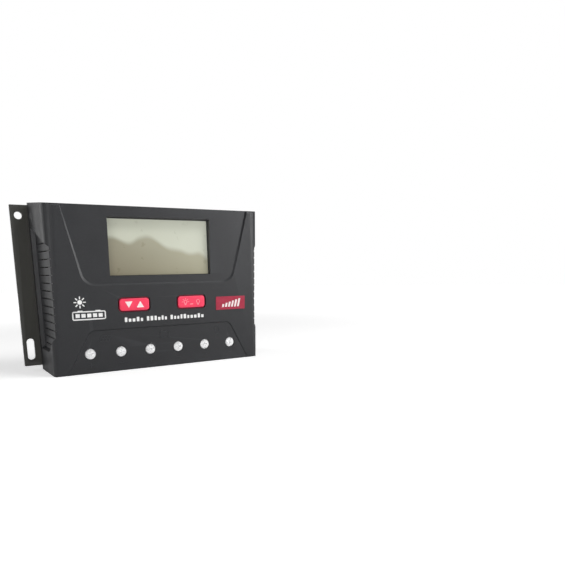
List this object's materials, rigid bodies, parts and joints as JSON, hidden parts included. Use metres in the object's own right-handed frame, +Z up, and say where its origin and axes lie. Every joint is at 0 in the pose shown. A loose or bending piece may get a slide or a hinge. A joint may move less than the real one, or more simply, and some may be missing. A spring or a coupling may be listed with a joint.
{
  "type": "solar charge controller",
  "caption": "Wall-mounted solar charge controller with a finned aluminium base plate, tilted moulded face, display, push keys and screw cable terminals.",
  "frame": {"origin": "middle of the whole object in plan, on the underside of the cover, as it stands upright", "axes": "+X to the right seen from the front, +Y into the wall, +Z up"},
  "size_m": [0.173, 0.0504, 0.1125],
  "materials": {
    "anodised_plate": "satin black anodised extrusion",
    "cover": "fine matt charcoal moulding",
    "label": "dark red printed film",
    "bezel": "matt black",
    "lcd": "pale olive reflective display glass",
    "diffuser": "milky",
    "silicone": "matt",
    "circuit_board": "green solder resist",
    "zinc_screw": "zinc plated",
    "black_screw": "blackened",
    "connector_plastic": "matt black",
    "key_red": "smooth pinkish red",
    "switch_black": "matt black",
    "brass": "turned",
    "terminal_plastic": "matt black",
    "contact_metal": "tinned",
    "terminal_steel": "bright nickel plated",
    "cage_steel": "yellowish zinc plated",
    "mosfet_epoxy": "matt black with tinned tabs",
    "pad": "grey silicone sheet",
    "capacitor_sleeve": "dark blue sleeve",
    "fuse_plastic": "translucent amber",
    "shunt_metal": "copper alloy strip",
    "ferrite": "matt",
    "chip": "matt black"
  },
  "bodies": {
    "case": {"heat_sink": "anodised_plate", "front_cover": "cover", "rating_label": "label", "lcd_bezel": "bezel", "lcd_glass": "lcd", "backlight": "diffuser", "contact_strip": "silicone", "display_board": "circuit_board", "display_screws": "zinc_screw", "header_pins": "connector_plastic", "switch_page": "switch_black", "switch_load": "switch_black", "main_board": "circuit_board", "standoffs": "brass", "board_screws": "zinc_screw", "header_socket": "connector_plastic", "terminal_block": "terminal_plastic", "contact_bars": "contact_metal", "mosfets": "mosfet_epoxy", "thermal_pad": "pad", "mosfet_screws": "zinc_screw", "capacitors": "capacitor_sleeve", "blade_fuses": "fuse_plastic", "shunt": "shunt_metal", "inductor": "ferrite", "microcontroller": "chip", "cover_screws": "black_screw"},
    "page_key": {"key_page": "key_red", "plunger_page": "switch_black"},
    "load_key": {"key_load": "key_red", "plunger_load": "switch_black"},
    "screw_1": {"terminal_screw_1": "terminal_steel"},
    "cage_1": {"clamp_cage_1": "cage_steel"},
    "screw_2": {"terminal_screw_2": "terminal_steel"},
    "cage_2": {"clamp_cage_2": "cage_steel"},
    "screw_3": {"terminal_screw_3": "terminal_steel"},
    "cage_3": {"clamp_cage_3": "cage_steel"},
    "screw_4": {"terminal_screw_4": "terminal_steel"},
    "cage_4": {"clamp_cage_4": "cage_steel"},
    "screw_5": {"terminal_screw_5": "terminal_steel"},
    "cage_5": {"clamp_cage_5": "cage_steel"},
    "screw_6": {"terminal_screw_6": "terminal_steel"},
    "cage_6": {"clamp_cage_6": "cage_steel"}
  },
  "joints": [
    {"name": "page_key_press", "type": "slide", "parent": "case", "child": "page_key", "axis": [0, 1, 0], "range_m": [0, 0.0005], "stiffness_N_per_m": 800, "springref_m": -0.0004},
    {"name": "load_key_press", "type": "slide", "parent": "case", "child": "load_key", "axis": [0, 1, 0], "range_m": [0, 0.0005], "stiffness_N_per_m": 800, "springref_m": -0.0004},
    {"name": "cage_1_rise", "type": "slide", "parent": "case", "child": "cage_1", "axis": [0, -1, 0], "range_m": [0, 0.006]},
    {"name": "screw_1_turn", "type": "hinge", "parent": "case", "child": "screw_1", "pos_m": [-0.05075, -0.01815, 0.0131], "axis": [0, 1, 0], "range_deg": [0, 2700]},
    {"name": "cage_2_rise", "type": "slide", "parent": "case", "child": "cage_2", "axis": [0, -1, 0], "range_m": [0, 0.006]},
    {"name": "screw_2_turn", "type": "hinge", "parent": "case", "child": "screw_2", "pos_m": [-0.03045, -0.01815, 0.0131], "axis": [0, 1, 0], "range_deg": [0, 2700]},
    {"name": "cage_3_rise", "type": "slide", "parent": "case", "child": "cage_3", "axis": [0, -1, 0], "range_m": [0, 0.006]},
    {"name": "screw_3_turn", "type": "hinge", "parent": "case", "child": "screw_3", "pos_m": [-0.01015, -0.01815, 0.0131], "axis": [0, 1, 0], "range_deg": [0, 2700]},
    {"name": "cage_4_rise", "type": "slide", "parent": "case", "child": "cage_4", "axis": [0, -1, 0], "range_m": [0, 0.006]},
    {"name": "screw_4_turn", "type": "hinge", "parent": "case", "child": "screw_4", "pos_m": [0.01015, -0.01815, 0.0131], "axis": [0, 1, 0], "range_deg": [0, 2700]},
    {"name": "cage_5_rise", "type": "slide", "parent": "case", "child": "cage_5", "axis": [0, -1, 0], "range_m": [0, 0.006]},
    {"name": "screw_5_turn", "type": "hinge", "parent": "case", "child": "screw_5", "pos_m": [0.03045, -0.01815, 0.0131], "axis": [0, 1, 0], "range_deg": [0, 2700]},
    {"name": "cage_6_rise", "type": "slide", "parent": "case", "child": "cage_6", "axis": [0, -1, 0], "range_m": [0, 0.006]},
    {"name": "screw_6_turn", "type": "hinge", "parent": "case", "child": "screw_6", "pos_m": [0.05075, -0.01815, 0.0131], "axis": [0, 1, 0], "range_deg": [0, 2700]}
  ],
  "couplings": [
    {"joint": "screw_1_turn", "follows": "cage_1_rise", "rad_per_m": 7854},
    {"joint": "screw_2_turn", "follows": "cage_2_rise", "rad_per_m": 7854},
    {"joint": "screw_3_turn", "follows": "cage_3_rise", "rad_per_m": 7854},
    {"joint": "screw_4_turn", "follows": "cage_4_rise", "rad_per_m": 7854},
    {"joint": "screw_5_turn", "follows": "cage_5_rise", "rad_per_m": 7854},
    {"joint": "screw_6_turn", "follows": "cage_6_rise", "rad_per_m": 7854}
  ]
}
